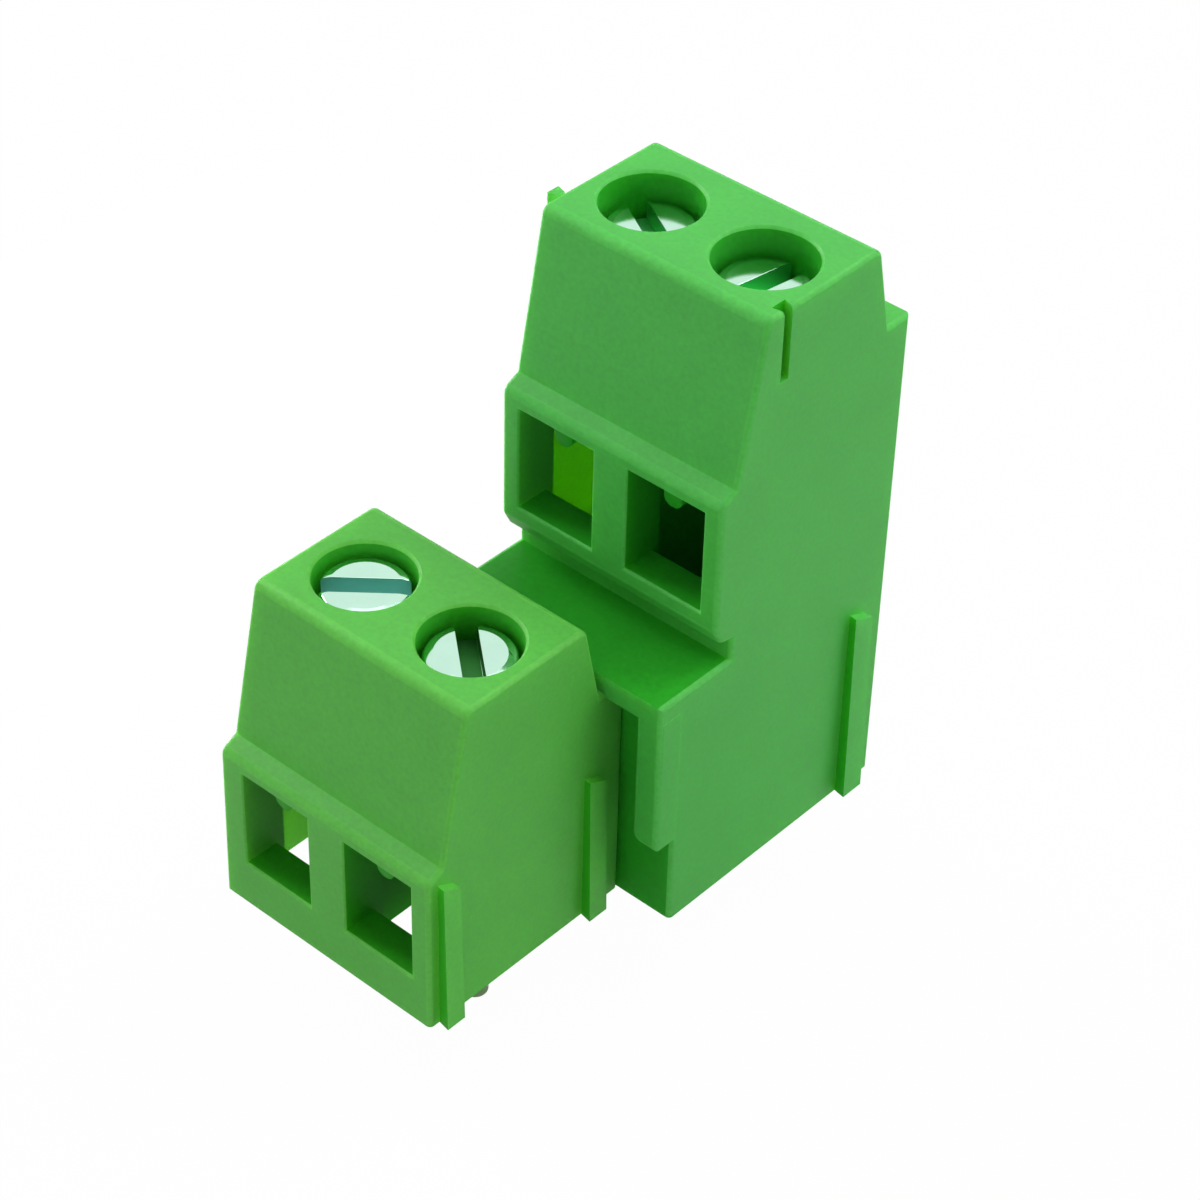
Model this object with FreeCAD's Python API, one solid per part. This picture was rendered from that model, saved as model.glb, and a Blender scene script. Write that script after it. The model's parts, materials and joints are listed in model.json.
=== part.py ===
"""Two-tier screw terminal for a printed circuit board.

A low front housing and a tall rear housing, half a pitch to the right, meet
face to face.  Each holds one row of poles.  Each pole has a slotted screw that
turns in a round well, a threaded cage that the screw raises and lowers, and
a tinned contact whose pin is soldered to the board.

All sizes are millimetres.  X runs along a row, Y from the wire side to the
back, Z up.  The origin is on the board plane at the first front pin.
"""
import os
import math
import FreeCAD, Part

V = FreeCAD.Vector

# Rows and poles
poles_per_row = 2
pole_pitch = 5.0
row_shift = 2.5             # rear row stands half a pitch to the right
row_depth = 11.5            # front of the lower frame to front of the upper frame
shelf_height = 10.55        # top of the shelf between the rows
row_lift = 0.35
row_rise = shelf_height + row_lift   # lower row to the same features of the upper row
row_width = poles_per_row * pole_pitch

# Outline shared by both rows, from the front foot of the row
frame_top = 6.8             # front edge of the frame's ledge
ledge_depth = 0.7
ledge_rise = 0.35
crown_front = 1.9           # flat top, front and back
crown_back = 7.75
crown_top = 13.35
taper_back = 8.53           # foot of the tapered back
step_height = 9.82          # ledge at the foot of the tapered back
upper_back = 9.7            # back of the upper row
left_flare = 0.28           # lower block widens to the left, foot and top
left_flare_top = 0.06

# Rear block and shelf
rear_front = 9.75
shelf_front = 8.8
lip_thickness = 0.88
neck_depth = 0.95
neck_height = 0.95
neck_top = shelf_height + neck_height
upper_frame_foot = 1.4      # frame bottom above the upper row's own foot
frame_foot_setback = 0.35   # slope under the upper frame
frame_foot_rise = 0.1
corner_lip_width = 1.12
corner_lip_foot = 3.92
corner_lip_round = 0.4
merge = 0.1                 # overlap of solids that become one

# Wire entry, cage chamber and screw well
entry_width_lower = 3.25
entry_width_upper = 3.45
entry_floor = 1.95
frame_bar = 0.6             # over the wire entry
entry_roof = frame_top - frame_bar
entry_length = 1.86
sill_length = 1.47
entry_edge = 0.1
chamber_width = 4.5
chamber_back = 6.4
screw_y = 4.68
well_radius = 1.86
well_rim = 0.1
nub_width = 0.8
nub_round = 0.36
nub_front = 0.5
nub_length = 0.5
nub_drop = 0.95
nub_offset = -0.06           # nubs sit slightly left of the poles

# Screw
head_radius = 1.63
head_height = 1.5
head_edge = 0.08
head_flat_radius = 1.28     # flat middle of the head; it falls off gently outside
head_crown = 0.06
slot_width = 0.78
slot_depth = 0.75
shank_radius = 1.25
shank_tip = 0.3
# Head tops below the housing top and slot angles: lower left, lower right,
# upper left, upper right
head_drops = (0.45, 0.6, 1.0, 1.0)
slot_angles = (41.0, -40.0, -30.0, 81.0)
thread_clearance = 0.05
shank_clearance = 0.08

# Threaded cage, shown fully raised
cage_width = 3.9
cage_depth = 3.16
cage_wall = 0.55
cage_roof = 1.3
cage_floor = 0.7
cage_edge = 0.15
roof_gap = 0.1

# Contact
tongue_width = 2.4
strip_thickness = 0.7
bend_share = 0.6            # outer bend radius over the strip's thickness
tongue_rise = 0.1           # tongue over the entry roof
tongue_top = entry_roof + tongue_rise
lintel_height = 1.0         # housing bridge above the tongue
tongue_front = 2.0
tongue_gap = 0.05           # to the raised cage floor
leg_gap = 0.2               # cage back to contact leg
foot_top = 0.9
foot_front = 4.1
pin_y = 4.85
pin_radius = 0.5
pin_length = 3.6
pin_tip = 0.25
rear_pin_shift = 0.6        # pins of the upper row stand left of their poles

# Heights that follow from the heads, counted from the row's foot
seat_web = 0.55             # housing under the lowest head seat
shank_gap = 0.15            # shank end to tongue
lowest_seat = crown_top - max(head_drops) - head_height
chamber_roof = lowest_seat - seat_web
shank_length = lowest_seat - tongue_top - shank_gap

# Interlock ribs and the grooves that take a neighbour's ribs
rib_reach = 0.5
rib_reach_top = 0.34
rib_undercut = 0.1
rib_slope = 0.4
groove_clearance = 0.08
lower_ribs = ((0.37, 1.23, 6.6), (7.69, 8.6, 6.6))
rear_ribs = ((row_depth + 7.64, row_depth + 8.67, 8.55),)
key_setback = 2.86          # from the upper row's front
key_middle = row_depth + key_setback
key_width = 0.6
key_root = 0.3
key_reach = 0.42
key_length = 2.85
key_foot = row_rise + crown_top - key_length
key_edge = 0.08

# Edges
body_edge = 0.4
ledge_edge = 0.4
side_share = 0.475          # side edges over the least of the others; under a half
side_edge = side_share * min(body_edge, ledge_edge, corner_lip_round)

origin = V(pole_pitch / 2, pin_y, 0)


def box(x0, x1, y0, y1, z0, z1):
    return Part.makeBox(x1 - x0, y1 - y0, z1 - z0, V(x0, y0, z0))


def rod(x, y, radius, z0, z1):
    return Part.makeCylinder(radius, z1 - z0, V(x, y, z0))


def rounded_wire(points):
    """Closed wire through 3-D points given as (point, corner radius)."""
    starts, ends, mids = [], [], []
    count = len(points)
    for i, (here, radius) in enumerate(points):
        to_last = (points[i - 1][0] - here).normalize()
        to_next = (points[(i + 1) % count][0] - here).normalize()
        half = to_last.getAngle(to_next) / 2
        run = radius / math.tan(half)
        starts.append(here + to_last * run)
        ends.append(here + to_next * run)
        inward = (to_last + to_next).normalize()
        mids.append(here + inward * (radius / math.sin(half) - radius))
    edges = []
    for i, (here, radius) in enumerate(points):
        if radius > 0:
            edges.append(Part.Arc(starts[i], mids[i], ends[i]).toShape())
        edges.append(Part.makeLine(ends[i], starts[(i + 1) % count]))
    return Part.Wire(edges)


def side_prism(points, x0, x1):
    """Solid from a Y-Z outline of (y, z, corner radius), from x0 to x1."""
    wire = rounded_wire([(V(x0, y, z), radius) for y, z, radius in points])
    return Part.Face(wire).extrude(V(x1 - x0, 0, 0))


def front_prism(points, y0, y1):
    """Solid from an X-Z outline of (x, z, corner radius), from y0 to y1."""
    wire = rounded_wire([(V(x, y0, z), radius) for x, z, radius in points])
    return Part.Face(wire).extrude(V(0, y1 - y0, 0))


def plan_prism(points, z0, z1):
    """Solid from an X-Y outline of (x, y, corner radius), from z0 to z1."""
    wire = rounded_wire([(V(x, y, z0), radius) for x, y, radius in points])
    return Part.Face(wire).extrude(V(0, 0, z1 - z0))


def round_edges(shape, radius, chosen):
    return shape.makeFillet(radius, [e for e in shape.Edges if chosen(e.BoundBox)])


def on_end(bounds, x0, x1):
    """True for an edge that lies in one of the two end faces above the foot."""
    flat = bounds.XLength < 1e-4
    at_end = abs(bounds.XMin - x0) < 1e-4 or abs(bounds.XMin - x1) < 1e-4
    return flat and at_end and bounds.ZMax > 1e-3


def on_side(bounds, right):
    """True for an edge of the flared left face or of the right face, above the foot."""
    near_left = bounds.XMax < 1e-3
    at_right = bounds.XMin > right - 1e-3
    return (near_left or at_right) and bounds.ZMax > 1e-3


def lower_block():
    outline = [
        (0, 0, 0),
        (0, frame_top, ledge_edge),
        (ledge_depth, frame_top + ledge_rise, 0),
        (crown_front, crown_top, body_edge),
        (crown_back, crown_top, body_edge),
        (taper_back, step_height, 0),
        (rear_front, step_height, 0),
        (rear_front, 0, 0),
    ]
    block = side_prism(outline, -left_flare, row_width)
    sides = front_prism([
        (-left_flare, 0, 0),
        (row_width, 0, 0),
        (row_width, crown_top, 0),
        (-left_flare_top, crown_top, 0),
    ], 0, rear_front)
    block = block.common(sides)
    return round_edges(block, side_edge, lambda b: on_side(b, row_width))


def rear_block():
    front, foot = row_depth, row_rise
    outline = [
        (rear_front, 0, 0),
        (rear_front, shelf_height - lip_thickness, 0),
        (shelf_front, shelf_height - lip_thickness, 0),
        (shelf_front, shelf_height, 0),
        (front + neck_depth, shelf_height, 0),
        (front + neck_depth, neck_top, 0),
        (front + frame_foot_setback, neck_top + frame_foot_rise, ledge_edge),
        (front, foot + upper_frame_foot, ledge_edge),
        (front, foot + frame_top, ledge_edge),
        (front + ledge_depth, foot + frame_top + ledge_rise, 0),
        (front + crown_front, foot + crown_top, body_edge),
        (front + crown_back, foot + crown_top, body_edge),
        (front + taper_back, foot + step_height, 0),
        (front + upper_back, foot + step_height, 0),
        (front + upper_back, 0, 0),
    ]
    x0, x1 = row_shift, row_shift + row_width
    block = side_prism(outline, x0, x1)
    return round_edges(block, side_edge, lambda b: on_end(b, x0, x1))


def corner_lip():
    """Upright strip at the right end of the shelf, rounded at its foot."""
    x1 = row_shift + row_width
    x0 = x1 - corner_lip_width
    top = shelf_height - lip_thickness + merge
    points = [
        (x0, corner_lip_foot, corner_lip_round),
        (x1, corner_lip_foot, 0),
        (x1, top, 0),
        (x0, top, 0),
    ]
    strip = front_prism(points, shelf_front, rear_front + merge)
    return round_edges(
        strip, side_edge,
        lambda b: b.YMax < shelf_front + 1e-3 and b.ZMin < top - 1e-3)


def rib(face_x, y0, y1, top, side=1, grow=0.0):
    """Dovetail rib standing on a side face; grown a little it cuts the groove."""
    reach = rib_reach + grow
    reach_top = rib_reach_top + grow
    low, high = y0 - grow, y1 + grow
    root = face_x - merge / 2
    plan = [
        (root, low + rib_undercut, 0),
        (face_x + reach, low, 0),
        (face_x + reach, high, 0),
        (root, high - rib_undercut, 0),
    ]
    draft = [
        (root, 0, 0),
        (face_x + reach, 0, 0),
        (face_x + reach_top, top + grow, 0),
        (root, top + grow, 0),
    ]
    slope = [
        (low, 0, 0),
        (high, 0, 0),
        (high, top + grow - rib_slope, 0),
        (low, top + grow, 0),
    ]
    solid = plan_prism(plan, 0, top + grow)
    solid = solid.common(front_prism(draft, low, high))
    return solid.common(side_prism(slope, root, face_x + reach))


def groove(face_x, y0, y1, top):
    """Groove in the left side face, open downwards, for a neighbour's rib."""
    return rib(face_x, y0, y1, top, grow=groove_clearance)


def key_outline(face_x, grow):
    """Dovetail plan of the key; grown a little it cuts the slot."""
    root, tip = key_root / 2 + grow, key_width / 2 + grow
    return [
        (face_x + merge / 2, key_middle + root, 0),
        (face_x - key_reach - grow, key_middle + tip, 0),
        (face_x - key_reach - grow, key_middle - tip, 0),
        (face_x + merge / 2, key_middle - root, 0),
    ]


def key_slot():
    """Upright slot at the top right that takes a neighbour's key."""
    plan = key_outline(row_shift + row_width, groove_clearance / 2)
    return plan_prism(plan, key_foot, row_rise + crown_top + 1)


def key():
    """Upright key at the top left, level with the slot on the right."""
    shape = plan_prism(key_outline(row_shift, 0), key_foot, row_rise + crown_top)
    return round_edges(shape, key_edge, lambda b: b.XMax < row_shift - key_reach + 1e-3)


def row_places(name, shift, front, foot, width, drops):
    """Name, X, row front, row foot, entry width and head drop of a row's poles."""
    return [(f"{name}_{i + 1}", shift + pole_pitch * (i + 0.5), front, foot, width, drop)
            for i, drop in enumerate(drops)]


lower_places = row_places("lower", 0, 0, 0, entry_width_lower, head_drops[:poles_per_row])
upper_places = row_places("upper", row_shift, row_depth, row_rise, entry_width_upper,
                          head_drops[poles_per_row:])


def head_seat(foot, drop):
    return foot + crown_top - drop - head_height


def chamber(x, front, foot, wall):
    """Cage chamber; at the left end of a row it follows the flared side."""
    right = x + chamber_width / 2
    low = top = x - chamber_width / 2
    roof = foot + chamber_roof
    if low < wall + merge:
        low = wall - left_flare
        top = low + (left_flare - left_flare_top) * roof / crown_top
    return front_prism([
        (low, 0, 0),
        (right, 0, 0),
        (right, roof, 0),
        (top, roof, 0),
    ], front + entry_length, front + chamber_back)


def pole_cavity(x, front, foot, width, drop):
    half_entry = width / 2
    seat = head_seat(foot, drop)
    entry = box(x - half_entry, x + half_entry, front, front + entry_length + merge,
                foot + entry_floor, foot + entry_roof)
    sill = box(x - half_entry, x + half_entry, front + sill_length,
               front + entry_length + merge, 0, foot + entry_floor + merge)
    leg_slot = box(x - tongue_width / 2, x + tongue_width / 2, front + chamber_back - merge,
                   front + leg_back(), 0, foot + tongue_top)
    well = rod(x, front + screw_y, well_radius, seat, foot + crown_top)
    hole = rod(x, front + screw_y, shank_radius + shank_clearance,
               foot + chamber_roof - merge, seat + merge)
    room = chamber(x, front, foot, (pole_pitch - chamber_width) / 2)
    return entry.fuse([sill, room, leg_slot, well, hole])


def entry_nub(x, front, foot):
    """Half-round nub under the roof of a wire entry."""
    x += nub_offset
    half = nub_width / 2
    low = foot + entry_roof - nub_drop
    points = [
        (x - half, low, nub_round),
        (x + half, low, nub_round),
        (x + half, foot + entry_roof + merge, 0),
        (x - half, foot + entry_roof + merge, 0),
    ]
    return front_prism(points, front + nub_front, front + nub_front + nub_length)


def lintel(x, front, foot):
    """Bridge behind the entry roof that the contact's tongue bears against."""
    half = (chamber_width + merge) / 2
    return box(x - half, x + half, front + entry_length - merge,
               front + screw_y - cage_depth / 2 - leg_gap, foot + tongue_top,
               foot + tongue_top + lintel_height)


def on_well_mouth(edge, x, y, top):
    """True for the round edge where a screw well opens in the top."""
    b = edge.BoundBox
    level = abs(b.ZMin - top) < 1e-3 and abs(b.ZMax - top) < 1e-3
    middle = abs(b.Center.x - x) < 1e-3 and abs(b.Center.y - y) < 1e-3
    return level and middle and abs(b.XLength - 2 * well_radius) < 1e-3


def on_entry_mouth(edge, x, front, foot, width):
    """True for an edge where a wire entry opens in the front face."""
    b = edge.BoundBox
    half = width / 2 + 1e-3
    across = x - half < b.XMin and b.XMax < x + half
    upright = foot + entry_floor - 1e-3 < b.ZMin and b.ZMax < foot + entry_roof + 1e-3
    return across and upright and b.YMin > front - 1e-3 and b.YMax < front + 1e-3


def interlock(body, left, right, ribs):
    """Ribs on the right side and grooves on the left side."""
    for y0, y1, top in ribs:
        body = body.fuse(rib(right, y0, y1, top))
        body = body.cut(groove(left, y0, y1, top))
    return body


def hollow(body, places):
    """Cavities of a row's poles, with eased mouths, nubs and bridges."""
    for _, x, front, foot, width, drop in places:
        body = body.cut(pole_cavity(x, front, foot, width, drop))
    body = body.removeSplitter()
    for _, x, front, foot, width, _ in places:
        body = body.makeChamfer(well_rim, [
            e for e in body.Edges
            if on_well_mouth(e, x, front + screw_y, foot + crown_top)])
        body = body.makeFillet(entry_edge, [
            e for e in body.Edges if on_entry_mouth(e, x, front, foot, width)])
    for _, x, front, foot, _, _ in places:
        body = body.fuse([entry_nub(x, front, foot), lintel(x, front, foot)])
    return body.removeSplitter()


def rear_outside():
    return rear_block().fuse(corner_lip())


def front_housing():
    body = lower_block().cut(rear_outside())
    return hollow(interlock(body, 0, row_width, lower_ribs), lower_places)


def rear_housing():
    left, right = row_shift, row_shift + row_width
    body = interlock(rear_outside(), left, right, rear_ribs)
    return hollow(body.fuse(key()).cut(key_slot()), upper_places)


def screw(x, front, foot, drop, angle):
    y = front + screw_y
    seat = head_seat(foot, drop)
    top = seat + head_height
    brow = top - head_crown
    head = rod(x, y, head_radius, seat, brow)
    head = head.makeChamfer(head_edge, [e for e in head.Edges if e.BoundBox.ZMin > brow - 1e-3])
    crown = Part.makeCone(head_radius - head_edge, head_flat_radius, head_crown, V(x, y, brow))
    shank = rod(x, y, shank_radius, seat - shank_length, seat + merge)
    low = seat - shank_length
    shank = shank.makeChamfer(
        shank_tip, [e for e in shank.Edges if e.BoundBox.ZMax < low + 1e-3])
    slot = box(-head_radius - 1, head_radius + 1, -slot_width / 2, slot_width / 2,
               top - slot_depth, top + 1)
    slot.rotate(V(0, 0, 0), V(0, 0, 1), angle)
    slot.translate(V(x, y, 0))
    return head.fuse([crown, shank]).cut(slot).removeSplitter()


def cage(x, front, foot):
    """Threaded cage, fully raised."""
    y = front + screw_y
    top = foot + chamber_roof - roof_gap
    low = foot + tongue_top - strip_thickness - tongue_gap - cage_floor
    half = cage_width / 2
    points = [
        (x - half, low, cage_wall),
        (x + half, low, cage_wall),
        (x + half, top, cage_edge),
        (x - half, top, cage_edge),
    ]
    block = front_prism(points, y - cage_depth / 2, y + cage_depth / 2)
    inner = half - cage_wall
    window = box(x - inner, x + inner, y - cage_depth, y + cage_depth,
                 low + cage_floor, top - cage_roof)
    thread = rod(x, y, shank_radius + thread_clearance, top - cage_roof - merge, top + merge)
    return block.cut(window).cut(thread)


def leg_front():
    """Front face of the contact leg, from the row front."""
    return screw_y + cage_depth / 2 + leg_gap


def leg_back():
    return leg_front() + strip_thickness


def contact(x, front, foot, pin_x):
    """Tongue through the cage, leg behind it, foot below it and solder pin."""
    half = tongue_width / 2
    top = foot + tongue_top
    under = top - strip_thickness
    bend = strip_thickness * bend_share
    points = [
        (front + tongue_front, under, 0),
        (front + leg_front(), under, 0),
        (front + leg_front(), foot_top, 0),
        (front + foot_front, foot_top, 0),
        (front + foot_front, foot_top - strip_thickness, 0),
        (front + leg_back(), foot_top - strip_thickness, bend),
        (front + leg_back(), top, bend),
        (front + tongue_front, top, 0),
    ]
    strip = side_prism(points, x - half, x + half)
    pin = rod(pin_x, front + pin_y, pin_radius, -pin_length, foot_top - merge)
    pin = pin.makeChamfer(
        pin_tip, [e for e in pin.Edges if e.BoundBox.ZMax < -pin_length + 1e-3])
    return strip.fuse(pin).removeSplitter()


def save(name, shape):
    shape.translate(origin * -1)
    shape.exportStep(os.path.join("parts", name + ".step"))


os.makedirs("parts", exist_ok=True)
save("housing_front", front_housing())
save("housing_rear", rear_housing())
for place, angle in zip(lower_places + upper_places, slot_angles):
    label, x, front, foot, _, drop = place
    save("screw_" + label, screw(x, front, foot, drop, angle))
    save("cage_" + label, cage(x, front, foot))
    pin_x = x - rear_pin_shift if foot > 0 else x
    save("contact_" + label, contact(x, front, foot, pin_x))
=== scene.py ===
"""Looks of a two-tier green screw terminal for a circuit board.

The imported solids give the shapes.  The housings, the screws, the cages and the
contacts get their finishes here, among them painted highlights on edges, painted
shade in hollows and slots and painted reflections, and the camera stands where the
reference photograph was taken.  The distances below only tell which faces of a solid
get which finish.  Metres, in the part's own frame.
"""
import json
import math

import bpy
from mathutils import Matrix, Vector

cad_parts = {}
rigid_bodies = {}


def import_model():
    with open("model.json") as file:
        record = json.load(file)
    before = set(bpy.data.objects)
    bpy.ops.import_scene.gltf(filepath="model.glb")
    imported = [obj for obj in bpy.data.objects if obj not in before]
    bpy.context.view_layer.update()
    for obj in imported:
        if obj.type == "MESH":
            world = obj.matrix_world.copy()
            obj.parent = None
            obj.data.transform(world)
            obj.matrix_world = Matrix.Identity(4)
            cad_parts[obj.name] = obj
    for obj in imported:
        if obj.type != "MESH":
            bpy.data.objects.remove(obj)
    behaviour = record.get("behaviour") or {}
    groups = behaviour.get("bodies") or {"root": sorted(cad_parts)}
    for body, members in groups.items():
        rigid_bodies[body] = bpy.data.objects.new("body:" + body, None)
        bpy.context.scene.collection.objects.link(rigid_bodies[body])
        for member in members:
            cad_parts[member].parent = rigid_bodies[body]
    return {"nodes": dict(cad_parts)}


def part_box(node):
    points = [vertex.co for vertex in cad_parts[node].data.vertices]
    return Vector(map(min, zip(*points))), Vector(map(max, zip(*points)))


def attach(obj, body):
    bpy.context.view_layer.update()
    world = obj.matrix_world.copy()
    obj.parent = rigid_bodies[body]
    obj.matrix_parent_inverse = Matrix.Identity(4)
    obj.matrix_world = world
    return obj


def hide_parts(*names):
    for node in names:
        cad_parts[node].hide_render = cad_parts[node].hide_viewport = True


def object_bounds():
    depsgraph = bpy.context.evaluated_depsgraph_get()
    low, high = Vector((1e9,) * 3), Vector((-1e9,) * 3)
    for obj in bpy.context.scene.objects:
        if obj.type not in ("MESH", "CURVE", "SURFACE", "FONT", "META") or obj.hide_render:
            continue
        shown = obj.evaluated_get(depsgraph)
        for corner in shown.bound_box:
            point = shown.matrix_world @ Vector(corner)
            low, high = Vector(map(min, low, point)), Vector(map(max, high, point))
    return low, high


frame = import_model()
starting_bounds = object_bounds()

MM = 0.001
POLES = ("lower_1", "lower_2", "upper_1", "upper_2")
UP = Vector((0, 0, 1))

# Camera of the photograph: place, point that it looks at, roll and lens
CAMERA_PLACE = Vector((64.234, -61.796, 84.907)) * MM
CAMERA_TARGET = Vector((4.580, 6.847, 10.661)) * MM
CAMERA_ROLL = math.radians(1.615)
CAMERA_LENS = 100.09
SENSOR_WIDTH = 36.0
CLIP_START, CLIP_END = 0.01, 10.0

# Studio
WHITE = (1.0, 1.0, 1.0, 1.0)
FLOOR_SIZE = 0.8
FLOOR_COLOUR = (0.62, 0.62, 0.62, 1.0)
FLOOR_ROUGHNESS = 0.9
FLOOR_GLOW = 0.98           # share of plain white that the camera sees on the floor
ROOM_LIGHT = 0.23
# Lamps: name, place from the part's middle, size and power
LAMPS = (
    ("left_softbox", (-0.163, -0.019, 0.095), 0.08, 0.23),
    ("back_softbox", (0.045, 0.115, 0.165), 0.12, 0.26),
    ("top_softbox", (0.0, 0.0, 0.21), 0.20, 0.07),
    ("front_softbox", (-0.02, -0.22, 0.08), 0.20, 0.12),
    ("right_softbox", (0.20, 0.10, 0.09), 0.18, 0.17),
    ("glow_lamp", (-0.05, 0.004, -0.008), 0.03, 0.020),
)

# Sharp edges are rounded by this much
PLASTIC_BEVEL = 0.08 * MM
METAL_BEVEL = 0.05 * MM
BEVEL_SEGMENTS = 2
SHARP_ANGLE = math.radians(28)
FLAT_WEIGHT = 90            # how strongly large faces steer the shading
# The solids' triangles are joined to whole faces again within these limits
MERGE_DISTANCE = 0.0005 * MM
FLAT_ANGLE = math.radians(0.5)

# Finishes of a moulding in the order of its materials: the plain colour, a painted
# highlight on the edges and painted shade in the hollows
PLAIN, EDGE_HIGHLIGHT, PAINTED_SHADE = 0, 1, 2
# Finishes of a screw head in the order of its materials: the bright zinc and the slot's
# painted shade and reflection
BRIGHT, SLOT_SHADE = 0, 1

# A face looks along an axis when its normal's share there is over FACING, leans
# that way when it is over LEANING, and is upright when the z share is under UPRIGHT
FACING, LEANING, UPRIGHT = 0.9, 0.5, 0.1
# Narrow faces of rounded edges get a painted highlight, save those that look sideways
SIDE_FACING = 0.97          # narrow faces that look sideways more than this stay plain
EDGE_STRIP = 0.14 * MM      # narrower faces belong to a rounded edge
# Faces near the ribs' outer faces that look forward get painted shade
RIB_PROUD = 0.45 * MM       # from the ribs' outer faces inwards

# Each row: height of its foot and its poles
ROWS = {"housing_front": (0.0, ("lower_1", "lower_2")),
        "housing_rear": (10.9 * MM, ("upper_1", "upper_2"))}
HEAD_SETBACK = 3.05 * MM    # from the upper row's front to its screw heads

# Inside of an entry, chamber and well, which gets painted shade: half width, back and
# top, from the pole's axis and the row's front and foot
CAVITY_HALF = 2.27 * MM
CAVITY_BACK = 7.2 * MM
CAVITY_TOP = 13.2 * MM
MOUTH = 0.15 * MM           # the inside begins this far behind the outer face
# The outer face stands upright up to the ledge and leans back above it
LEDGE_TOP = 7.1 * MM
CROWN_BACK = 0.7 * MM
CROWN_LEAN = 0.19
# Shelf between the rows and recess under it, both with painted shade
SHELF_BACK = 7.7 * MM
SHELF_TOP = 12.5 * MM
SHELF_FOOT = 9.6 * MM
RECESS_FRONT = 4.4 * MM

# The slot's walls lie within SLOT_HALF of the axis, its floor at SLOT_DEPTH
SLOT_HALF = 0.45 * MM
SLOT_DEPTH = 0.75 * MM
SLOT_REACH = 1.1            # faces deeper than this many slot depths aren't the slot's

# Textures: scales of the slow clouds and of the fine grain, middle part of the noise
PLASTIC_CLOUDS, PLASTIC_GRAIN = 420.0, 5200.0
METAL_PATCHES, METAL_SCRATCHES = 900.0, 4000.0
NOISE_LOW, NOISE_HIGH = 0.3, 0.7

# Green plastic
PLASTIC_COLOURS = {"housing_front": (0.080, 0.428, 0.049),
                   "housing_rear": (0.058, 0.420, 0.056)}
# Lit and shaded copies of the plastic, in the order of the moulding's materials: the plain
# one, a painted edge highlight and painted shade; each row: name, gain on the colour and
# shine
PLASTIC_LIT_AND_SHADED = (
    ("_plastic", (1.0, 1.0, 1.0), 0.25),
    ("_edges", (1.35, 1.13, 1.35), 0.15),
    ("_painted_shade", (0.32, 0.77, 0.25), 0.15),
)
PALE, DEEP = 1.10, 0.90     # the mottling's shares of the colour
CLOUD_SHARE, GRAIN_SHARE = 0.3, 0.7
PLASTIC_ROUGHNESS = (0.40, 0.52)
PLASTIC_BUMP, PLASTIC_RELIEF = 0.12, 0.012 * MM
PLASTIC_IOR = 1.56
SHEER = 0.85                # share of the light that goes into the plastic
SHEER_RADIUS = (1.1, 1.2, 0.2)
SHEER_SCALE = 0.7 * MM

# Metals: colour, lowest and highest roughness
METALS = {
    "screw_zinc": ((0.62, 0.93, 0.76), 0.07, 0.13),
    # The slots' metals are painted shade, their blue-green and green tints a painted
    # reflection of the plastic
    "slot_shade_blue": ((0.34, 0.66, 0.60), 0.34, 0.46),
    "slot_shade_dark": ((0.045, 0.22, 0.05), 0.34, 0.46),
    "slot_shade_green": ((0.15, 0.72, 0.25), 0.34, 0.46),
    "cage_zinc": ((0.62, 0.66, 0.64), 0.3, 0.44),
    # Tin, with a painted green reflection of the plastic in its colour
    "contact_tin_painted_reflection": ((0.57, 0.78, 0.46), 0.3, 0.42),
}
# Each pole's slot gets its own painted shade
SLOT_PAINTED_SHADES = {"lower_1": "slot_shade_blue", "lower_2": "slot_shade_dark",
               "upper_1": "slot_shade_green", "upper_2": "slot_shade_green"}
DULL = 0.86                 # colour of the dull patches
METAL_BUMP, METAL_RELIEF = 0.1, 0.008 * MM


# Handling pieces

def select_only(piece):
    for other in bpy.context.view_layer.objects:
        other.select_set(False)
    piece.select_set(True)
    bpy.context.view_layer.objects.active = piece


def working_copy(node, name):
    """A merged copy of a solid's mesh, with its flat faces whole again."""
    piece = bpy.data.objects.new(name, frame["nodes"][node].data.copy())
    piece.data.name = name
    piece.data.materials.clear()
    bpy.context.scene.collection.objects.link(piece)
    select_only(piece)
    bpy.ops.object.mode_set(mode="EDIT")
    bpy.ops.mesh.select_all(action="SELECT")
    bpy.ops.mesh.remove_doubles(threshold=MERGE_DISTANCE)
    bpy.ops.mesh.customdata_custom_splitnormals_clear()
    bpy.ops.mesh.dissolve_limited(angle_limit=FLAT_ANGLE)
    bpy.ops.object.mode_set(mode="OBJECT")
    return piece


def soften_edges(piece, width, finish=-1):
    """Round every sharp edge a little and keep the flat faces flat.

    The rounded edges get the finish with this index, or their neighbour's at -1.
    """
    select_only(piece)
    soften = piece.modifiers.new("soft_edges", "BEVEL")
    soften.width = width
    soften.segments = BEVEL_SEGMENTS
    soften.material = finish
    soften.limit_method = "ANGLE"
    soften.angle_limit = SHARP_ANGLE
    soften.use_clamp_overlap = True
    bpy.ops.object.modifier_apply(modifier=soften.name)
    bpy.ops.object.shade_smooth_by_angle(angle=SHARP_ANGLE)
    weight = piece.modifiers.new("flat_faces", "WEIGHTED_NORMAL")
    weight.keep_sharp = True
    weight.weight = FLAT_WEIGHT
    bpy.ops.object.modifier_apply(modifier=weight.name)


def stand_for(piece, node, body):
    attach(piece, body)
    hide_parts(node)


# Shader parts

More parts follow.
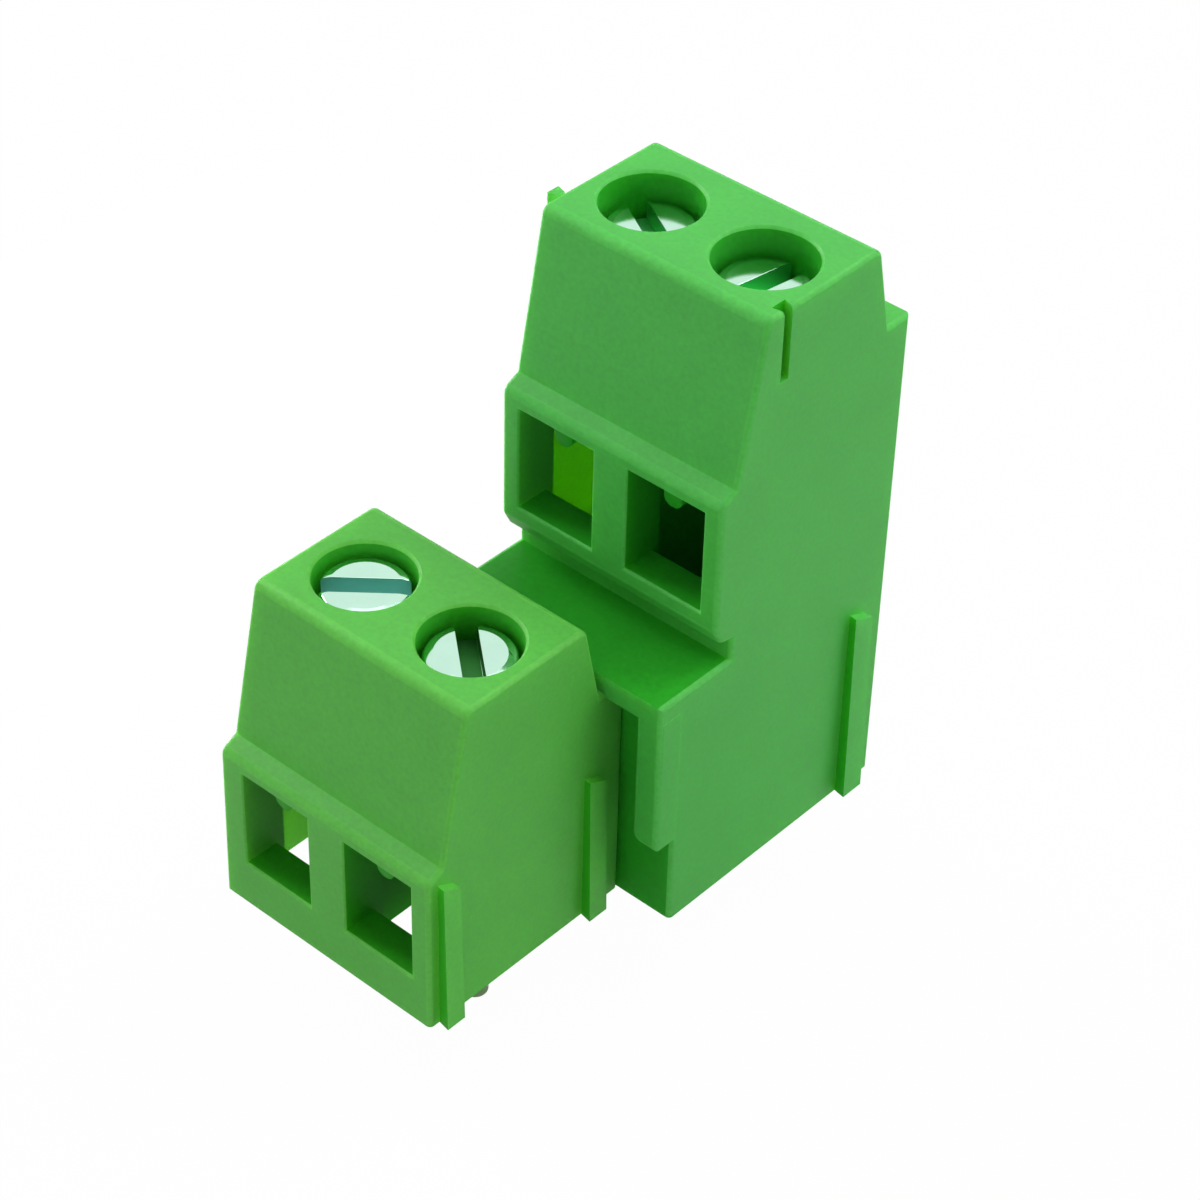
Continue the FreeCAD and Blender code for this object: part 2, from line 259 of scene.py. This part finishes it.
def texture_group():
    """Slow clouds and fine grain, shared by every finish."""
    group = bpy.data.node_groups.new("surface_texture", "ShaderNodeTree")
    for label, kind in (("Place", "NodeSocketVector"),
                        ("Cloud Scale", "NodeSocketFloat"),
                        ("Grain Scale", "NodeSocketFloat")):
        group.interface.new_socket(label, in_out="INPUT", socket_type=kind)
    for label in ("Clouds", "Grain"):
        group.interface.new_socket(label, in_out="OUTPUT", socket_type="NodeSocketFloat")
    entry = group.nodes.new("NodeGroupInput")
    leave = group.nodes.new("NodeGroupOutput")
    for scale, outlet, detail in (("Cloud Scale", "Clouds", 4.0),
                                  ("Grain Scale", "Grain", 3.0)):
        noise = group.nodes.new("ShaderNodeTexNoise")
        noise.inputs["Detail"].default_value = detail
        group.links.new(entry.outputs["Place"], noise.inputs["Vector"])
        group.links.new(entry.outputs[scale], noise.inputs["Scale"])
        group.links.new(noise.outputs["Fac"], leave.inputs[outlet])
    return group


TEXTURE = texture_group()


def surface_texture(nodes, links, cloud_scale, grain_scale):
    node = nodes.new("ShaderNodeGroup")
    node.node_tree = TEXTURE
    node.inputs["Cloud Scale"].default_value = cloud_scale
    node.inputs["Grain Scale"].default_value = grain_scale
    place = nodes.new("ShaderNodeTexCoord").outputs["Object"]
    links.new(place, node.inputs["Place"])
    return node.outputs["Clouds"], node.outputs["Grain"]


def remap(nodes, links, value, low, high):
    """Spread the middle part of the noise from low to high."""
    node = nodes.new("ShaderNodeMapRange")
    node.inputs["From Min"].default_value = NOISE_LOW
    node.inputs["From Max"].default_value = NOISE_HIGH
    node.inputs["To Min"].default_value = low
    node.inputs["To Max"].default_value = high
    links.new(value, node.inputs["Value"])
    return node.outputs["Result"]


def mix_colour(nodes, links, factor, first, second):
    node = nodes.new("ShaderNodeMix")
    node.data_type = "RGBA"
    links.new(factor, node.inputs["Factor"])
    node.inputs["A"].default_value = first
    node.inputs["B"].default_value = second
    return node.outputs["Result"]


def greatest(nodes, links, values):
    """The greatest of several values."""
    result = values[0]
    for value in values[1:]:
        node = nodes.new("ShaderNodeMath")
        node.operation = "MAXIMUM"
        links.new(result, node.inputs[0])
        links.new(value, node.inputs[1])
        result = node.outputs["Value"]
    return result


def new_material(name):
    material = bpy.data.materials.new(name)
    material.use_nodes = True
    tree = material.node_tree
    return material, tree.nodes, tree.links, tree.nodes["Principled BSDF"]


def bump(nodes, links, height, shader, strength, distance):
    node = nodes.new("ShaderNodeBump")
    node.inputs["Strength"].default_value = strength
    node.inputs["Distance"].default_value = distance
    links.new(height, node.inputs["Height"])
    links.new(node.outputs["Normal"], shader.inputs["Normal"])


def opaque(colour, share=1.0):
    return tuple(channel * share for channel in colour) + (1.0,)


# Finishes

def green_plastic(name, colour, light_gain, shine):
    """Satin plastic: faint mottling, fine grain and light going through thin walls; the
    gain on its colour lightens a copy into a painted edge highlight or darkens one into
    painted shade.
    """
    material, nodes, links, shader = new_material(name)
    clouds, grain = surface_texture(nodes, links, PLASTIC_CLOUDS, PLASTIC_GRAIN)
    lit_or_shaded_tone = tuple(channel * more for channel, more in zip(colour, light_gain))
    mottle = nodes.new("ShaderNodeMath")
    mottle.operation = "ADD"
    links.new(remap(nodes, links, clouds, 0.0, CLOUD_SHARE), mottle.inputs[0])
    links.new(remap(nodes, links, grain, 0.0, GRAIN_SHARE), mottle.inputs[1])
    links.new(mix_colour(nodes, links, mottle.outputs["Value"],
                         opaque(lit_or_shaded_tone, DEEP), opaque(lit_or_shaded_tone, PALE)),
              shader.inputs["Base Color"])
    links.new(remap(nodes, links, grain, *PLASTIC_ROUGHNESS), shader.inputs["Roughness"])
    bump(nodes, links, grain, shader, PLASTIC_BUMP, PLASTIC_RELIEF)
    shader.inputs["IOR"].default_value = PLASTIC_IOR
    shader.inputs["Specular IOR Level"].default_value = shine
    shader.subsurface_method = "BURLEY"
    shader.inputs["Subsurface Weight"].default_value = SHEER
    shader.inputs["Subsurface Radius"].default_value = SHEER_RADIUS
    shader.inputs["Subsurface Scale"].default_value = SHEER_SCALE
    return material


def plated_metal(name, colour, low_rough, high_rough):
    """Metal with dull patches and fine scratches."""
    material, nodes, links, shader = new_material(name)
    patches, scratches = surface_texture(nodes, links, METAL_PATCHES, METAL_SCRATCHES)
    links.new(mix_colour(nodes, links, patches, opaque(colour, DULL), opaque(colour)),
              shader.inputs["Base Color"])
    links.new(remap(nodes, links, patches, low_rough, high_rough),
              shader.inputs["Roughness"])
    bump(nodes, links, scratches, shader, METAL_BUMP, METAL_RELIEF)
    shader.inputs["Metallic"].default_value = 1.0
    return material


# Studio

def studio_floor():
    """A plane under the pins that takes shadows and looks almost white."""
    bottom = min(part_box("contact_" + pole)[0].z for pole in POLES)
    bpy.ops.mesh.primitive_plane_add(size=FLOOR_SIZE, location=(0, 0, bottom))
    floor = bpy.context.object
    floor.name = "studio_floor"
    bpy.ops.object.transform_apply(location=True, rotation=True, scale=True)
    material, nodes, links, shader = new_material("studio_floor")
    shader.inputs["Base Color"].default_value = FLOOR_COLOUR
    shader.inputs["Roughness"].default_value = FLOOR_ROUGHNESS
    shader.inputs["Specular IOR Level"].default_value = 0.0
    glow = nodes.new("ShaderNodeEmission")
    glow.inputs["Color"].default_value = WHITE
    rays = nodes.new("ShaderNodeLightPath")
    share = nodes.new("ShaderNodeMath")
    share.operation = "MULTIPLY"
    share.inputs[1].default_value = FLOOR_GLOW
    mixer = nodes.new("ShaderNodeMixShader")
    links.new(rays.outputs["Is Camera Ray"], share.inputs[0])
    links.new(share.outputs["Value"], mixer.inputs["Fac"])
    links.new(shader.outputs["BSDF"], mixer.inputs[1])
    links.new(glow.outputs["Emission"], mixer.inputs[2])
    links.new(mixer.outputs["Shader"], nodes["Material Output"].inputs["Surface"])
    floor.data.materials.append(material)


def studio_room():
    """Soft light from all round, and plain white where the room itself is seen."""
    world = bpy.data.worlds.new("studio_room")
    bpy.context.scene.world = world
    world.use_nodes = True
    nodes, links = world.node_tree.nodes, world.node_tree.links
    light = nodes["Background"]
    light.inputs["Color"].default_value = WHITE
    light.inputs["Strength"].default_value = ROOM_LIGHT
    white = nodes.new("ShaderNodeBackground")
    white.inputs["Color"].default_value = WHITE
    white.inputs["Strength"].default_value = 1.0
    rays = nodes.new("ShaderNodeLightPath").outputs
    seen = greatest(nodes, links, [rays["Is Camera Ray"], rays["Is Glossy Ray"],
                                   rays["Is Transmission Ray"]])
    mixer = nodes.new("ShaderNodeMixShader")
    links.new(seen, mixer.inputs["Fac"])
    links.new(light.outputs["Background"], mixer.inputs[1])
    links.new(white.outputs["Background"], mixer.inputs[2])
    links.new(mixer.outputs["Shader"], nodes["World Output"].inputs["Surface"])


def softbox(name, place, target, size, power):
    bpy.ops.object.light_add(type="AREA", location=place)
    lamp = bpy.context.object
    lamp.name = name
    lamp.data.shape = "SQUARE"
    lamp.data.size = size
    lamp.data.energy = power
    lamp.rotation_euler = (place - target).to_track_quat("Z", "Y").to_euler()


def photo_camera():
    look = (CAMERA_TARGET - CAMERA_PLACE).normalized()
    level = look.cross(UP).normalized()
    upright = level.cross(look)
    right = level * math.cos(CAMERA_ROLL) + upright * math.sin(CAMERA_ROLL)
    up = upright * math.cos(CAMERA_ROLL) - level * math.sin(CAMERA_ROLL)
    data = bpy.data.cameras.new("photo_camera")
    data.sensor_fit = "HORIZONTAL"
    data.sensor_width = SENSOR_WIDTH
    data.lens = CAMERA_LENS
    data.clip_start = CLIP_START
    data.clip_end = CLIP_END
    camera = bpy.data.objects.new("photo_camera", data)
    turn = Matrix((right, up, -look)).transposed()
    camera.matrix_world = Matrix.Translation(CAMERA_PLACE) @ turn.to_4x4()
    bpy.context.scene.collection.objects.link(camera)
    bpy.context.scene.camera = camera


# The part

def screw_axis(pole):
    """X and Y of a pole's screw."""
    low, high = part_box("screw_" + pole)
    return (low.x + high.x) / 2, (low.y + high.y) / 2


def row_front(node):
    """Y of the front of a row's frame."""
    if node == "housing_front":
        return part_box(node)[0].y
    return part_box("screw_upper_1")[0].y - HEAD_SETBACK


def in_cavity(centre, front, foot, axis_x):
    """True inside a pole's entry, chamber or well."""
    above = centre.z - foot - LEDGE_TOP
    skin = front + (CROWN_BACK + above * CROWN_LEAN if above > 0.0 else 0.0)
    return (abs(centre.x - axis_x) < CAVITY_HALF
            and skin + MOUTH < centre.y < front + CAVITY_BACK
            and centre.z < foot + CAVITY_TOP)


def paint_moulding(piece, node):
    """Give each face of a moulding the plain colour, the painted edge highlight or the
    painted shade.
    """
    foot, poles = ROWS[node]
    front = row_front(node)
    axes = [screw_axis(pole)[0] for pole in poles]
    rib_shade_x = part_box(node)[1].x - RIB_PROUD
    for face in piece.data.polygons:
        corners = [piece.data.vertices[i].co for i in face.vertices]
        longest = max((a - b).length for a, b in zip(corners, corners[1:] + corners[:1]))
        centre, normal = face.center, face.normal
        shaded_shelf = normal.z > LEANING and centre.y < SHELF_BACK and centre.z < SHELF_TOP
        shaded_recess = normal.y < -LEANING and centre.y > RECESS_FRONT and centre.z < SHELF_FOOT
        # The thin left wall, where light comes through, stays out of the painted shade
        glowing = normal.x > FACING and centre.x < axes[0] and centre.z < foot + LEDGE_TOP
        # Painted shade on the ribs' forward faces, inside entries, chambers and wells and
        # on the rear row's shelf and recess; painted highlight on narrow edge faces
        if centre.x > rib_shade_x and normal.y < -FACING:
            face.material_index = PAINTED_SHADE
        elif any(in_cavity(centre, front, foot, axis) for axis in axes):
            face.material_index = PLAIN if glowing else PAINTED_SHADE
        elif face.area / longest < EDGE_STRIP and abs(normal.x) < SIDE_FACING:
            face.material_index = EDGE_HIGHLIGHT
        elif node == "housing_rear" and (shaded_shelf or shaded_recess):
            face.material_index = PAINTED_SHADE


def housing_shell(node, lit_and_shaded_copies):
    shell = working_copy(node, "moulded_" + node)
    soften_edges(shell, PLASTIC_BEVEL)
    for finish in lit_and_shaded_copies:
        shell.data.materials.append(finish)
    paint_moulding(shell, node)
    stand_for(shell, node, "base")


def paint_slot_shade(piece, axis, top):
    """Give the walls and the floor of a screw's slot their painted shade and reflection.
    """
    for face in piece.data.polygons:
        centre, normal = face.center, face.normal
        outward = Vector((normal.x, normal.y, 0.0))
        wall = abs(normal.z) < UPRIGHT and abs((centre - axis).dot(outward)) < SLOT_HALF
        floor = normal.z > FACING and centre.z < top - SLOT_DEPTH / 2
        if (wall or floor) and centre.z > top - SLOT_DEPTH * SLOT_REACH:
            face.material_index = SLOT_SHADE


def mark_crown(piece, top):
    """Keep the crease between the flat of a screw head and its sloping rim."""
    corners = piece.data.vertices
    for edge in piece.data.edges:
        if all(corners[i].co.z > top - MERGE_DISTANCE for i in edge.vertices):
            edge.use_edge_sharp = True


def slotted_screw(pole, bright, slot_shade_metal):
    name = "screw_" + pole
    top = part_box(name)[1].z
    piece = working_copy(name, "plated_" + name)
    piece.data.materials.append(bright)
    piece.data.materials.append(slot_shade_metal)
    paint_slot_shade(piece, Vector((*screw_axis(pole), 0.0)), top)
    mark_crown(piece, top)
    soften_edges(piece, METAL_BEVEL, finish=BRIGHT)
    stand_for(piece, name, name)


def metal_piece(name, body, material):
    piece = working_copy(name, "plated_" + name)
    soften_edges(piece, METAL_BEVEL)
    piece.data.materials.append(material)
    stand_for(piece, name, body)


metals = {name: plated_metal(name, *values) for name, values in METALS.items()}
for node, colour in PLASTIC_COLOURS.items():
    housing_shell(node, [green_plastic(node + ending, colour, light_gain, shine)
                         for ending, light_gain, shine in PLASTIC_LIT_AND_SHADED])
for pole in POLES:
    slotted_screw(pole, metals["screw_zinc"], metals[SLOT_PAINTED_SHADES[pole]])
    metal_piece("cage_" + pole, "cage_" + pole, metals["cage_zinc"])
    metal_piece("contact_" + pole, "base", metals["contact_tin_painted_reflection"])

studio_floor()
studio_room()
middle = (starting_bounds[0] + starting_bounds[1]) / 2
for name, away, size, power in LAMPS:
    softbox(name, middle + Vector(away), middle, size, power)
photo_camera()

bpy.context.scene.view_settings.view_transform = "Standard"
